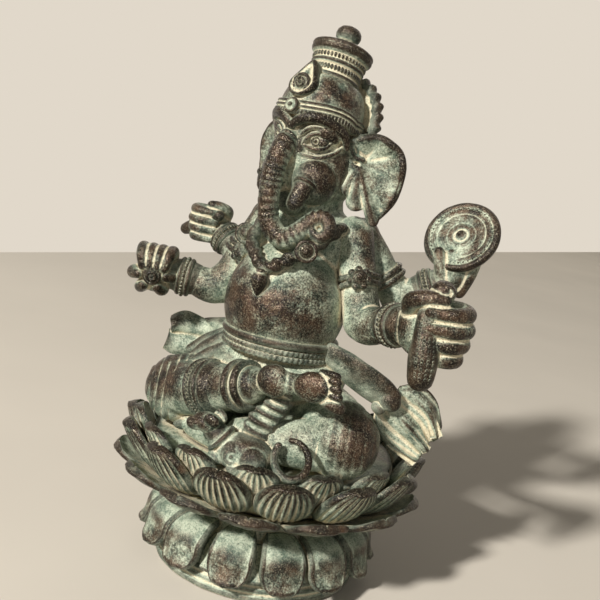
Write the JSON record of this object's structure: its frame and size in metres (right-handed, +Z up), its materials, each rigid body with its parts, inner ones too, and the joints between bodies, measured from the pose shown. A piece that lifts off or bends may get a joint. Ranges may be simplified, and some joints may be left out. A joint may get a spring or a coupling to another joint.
{
  "type": "deity statuette",
  "caption": "Seated elephant-headed deity with four arms, on a double lotus throne with a mouse at its feet, cast in pieces and stood on a flat base.",
  "frame": {"origin": "on the resting face, under the middle of the throne", "axes": "+Z up, the figure faces -Y, and +X is the figure's own left"},
  "size_m": [0.1599, 0.1448, 0.2506],
  "materials": {
    "dark_bronze": "dark brown patina, rubbed to a low shine on raised parts",
    "green_bronze": "grey-green verdigris with pale deposits in the hollows",
    "steel": "plain steel, hidden inside"
  },
  "bodies": {
    "root": {"base_plate": "green_bronze", "foot_ring": "green_bronze", "throne_core": "green_bronze", "seat_plate": "green_bronze", "lower_petals_front": "green_bronze", "lower_petals_back": "green_bronze", "bloom_petals_outer": "dark_bronze", "bloom_petals_main": "dark_bronze", "bloom_petals_inner": "dark_bronze", "clamp_stud": "steel", "clamp_washer": "steel", "clamp_nut": "steel", "dowel_pins": "steel", "torso": "dark_bronze", "waist_belt": "green_bronze", "left_leg": "dark_bronze", "right_leg": "dark_bronze", "left_foot": "dark_bronze", "right_foot": "dark_bronze", "anklets": "dark_bronze", "lap_pleats": "green_bronze", "left_sash": "green_bronze", "right_sash": "green_bronze", "chest_garland": "dark_bronze", "garland_pendant": "dark_bronze", "garland_rosettes": "dark_bronze", "head": "dark_bronze", "trunk": "dark_bronze", "left_tusk": "dark_bronze", "right_tusk": "dark_bronze", "left_ear": "green_bronze", "right_ear": "green_bronze", "headband": "green_bronze", "crown_dome": "dark_bronze", "crown_jewel": "dark_bronze", "crown_tier": "green_bronze", "crown_finial": "green_bronze", "crown_aureole": "green_bronze", "front_left_arm": "dark_bronze", "front_right_arm": "dark_bronze", "rear_left_arm": "green_bronze", "rear_right_arm": "green_bronze", "front_left_bracelet": "green_bronze", "front_right_bracelet": "green_bronze", "rear_left_bracelet": "green_bronze", "rear_right_bracelet": "green_bronze", "armlets": "dark_bronze", "front_left_hand": "dark_bronze", "front_right_hand": "dark_bronze", "rear_left_hand": "green_bronze", "rear_right_hand": "green_bronze", "club": "green_bronze", "flower_bud": "dark_bronze", "lotus_disc": "green_bronze", "goad": "green_bronze", "mouse_body": "dark_bronze", "mouse_head": "dark_bronze", "mouse_tail": "dark_bronze"}
  },
  "joints": []
}
